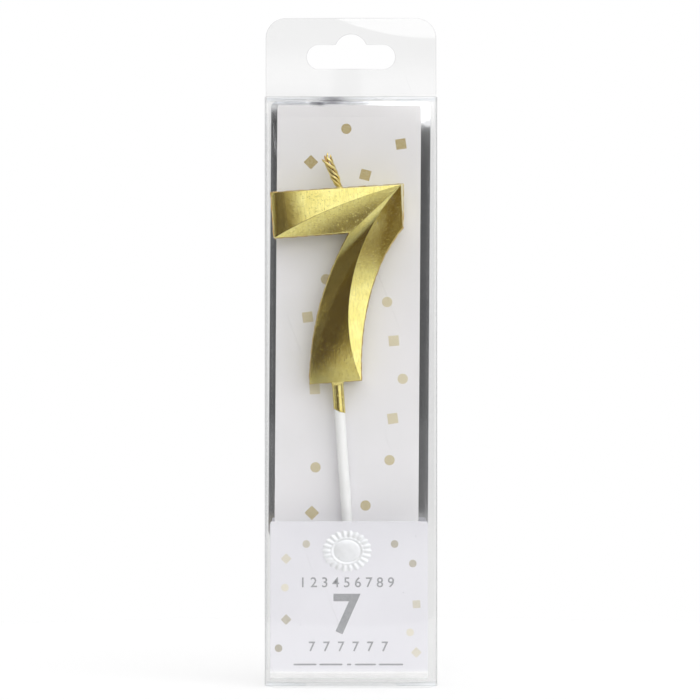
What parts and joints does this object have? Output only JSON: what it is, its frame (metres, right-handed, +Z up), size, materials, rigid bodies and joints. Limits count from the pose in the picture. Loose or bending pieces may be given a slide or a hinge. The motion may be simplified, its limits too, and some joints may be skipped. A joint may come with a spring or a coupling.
{
  "type": "numeral candle in hanging box",
  "caption": "Gold numeral seven candle on a white stick, held on a folded mirror card inside a clear tuck-end box with a hang tab.",
  "frame": {"origin": "centre of the box's footprint, on the surface that it stands on", "axes": "+Z up towards the hang tab, +X to the right as the window is seen, +Y to the back, so the window faces -Y"},
  "size_m": [0.052, 0.016, 0.203],
  "materials": {
    "clear_sheet": "polished",
    "mirror_card": "polished",
    "white_print": "satin",
    "label_card": "satin",
    "clear_tape": "gloss",
    "gold_wax": "satin",
    "gold_wick": "satin",
    "white_stick": "satin",
    "gold_coat": "gloss"
  },
  "bodies": {
    "pack": {"front_window": "clear_sheet", "left_side_panel": "clear_sheet", "right_side_panel": "clear_sheet", "back_panel_with_hang_tab": "clear_sheet", "glue_flap": "clear_sheet", "backing_card": "mirror_card", "printed_face": "white_print", "card_floor": "label_card", "label_panel": "label_card", "tape_strip": "clear_tape", "number_body": "gold_wax", "wick": "gold_wick", "stick": "white_stick", "stick_gold_coat": "gold_coat"},
    "top_lid_fold": {"top_lid": "clear_sheet", "top_tuck_tongue": "clear_sheet"},
    "top_left_flap_fold": {"top_dust_flap_left": "clear_sheet"},
    "top_right_flap_fold": {"top_dust_flap_right": "clear_sheet"},
    "bottom_lid_fold": {"bottom_lid": "clear_sheet", "bottom_tuck_tongue": "clear_sheet"},
    "bottom_left_flap_fold": {"bottom_dust_flap_left": "clear_sheet"},
    "bottom_right_flap_fold": {"bottom_dust_flap_right": "clear_sheet"}
  },
  "joints": [
    {"name": "top_lid_hinge", "type": "hinge", "parent": "pack", "child": "top_lid_fold", "pos_m": [0, -0.0077, 0.178], "axis": [1, 0, 0], "range_deg": [0, 120]},
    {"name": "top_left_flap_hinge", "type": "hinge", "parent": "pack", "child": "top_left_flap_fold", "pos_m": [-0.0257, 0, 0.1776], "axis": [0, -1, 0], "range_deg": [0, 54.5]},
    {"name": "top_right_flap_hinge", "type": "hinge", "parent": "pack", "child": "top_right_flap_fold", "pos_m": [0.0257, 0, 0.1776], "axis": [0, 1, 0], "range_deg": [0, 54.5]},
    {"name": "bottom_lid_hinge", "type": "hinge", "parent": "pack", "child": "bottom_lid_fold", "pos_m": [0, 0.0077, 0], "axis": [1, 0, 0], "range_deg": [0, 120]},
    {"name": "bottom_left_flap_hinge", "type": "hinge", "parent": "pack", "child": "bottom_left_flap_fold", "pos_m": [-0.0257, 0, 0.0004], "axis": [0, 1, 0], "range_deg": [0, 54.5]},
    {"name": "bottom_right_flap_hinge", "type": "hinge", "parent": "pack", "child": "bottom_right_flap_fold", "pos_m": [0.0257, 0, 0.0004], "axis": [0, -1, 0], "range_deg": [0, 54.5]}
  ],
  "couplings": [
    {"joint": "top_left_flap_hinge", "follows": "top_lid_hinge", "ratio": 0.45},
    {"joint": "top_right_flap_hinge", "follows": "top_lid_hinge", "ratio": 0.45},
    {"joint": "bottom_left_flap_hinge", "follows": "bottom_lid_hinge", "ratio": 0.45},
    {"joint": "bottom_right_flap_hinge", "follows": "bottom_lid_hinge", "ratio": 0.45}
  ]
}
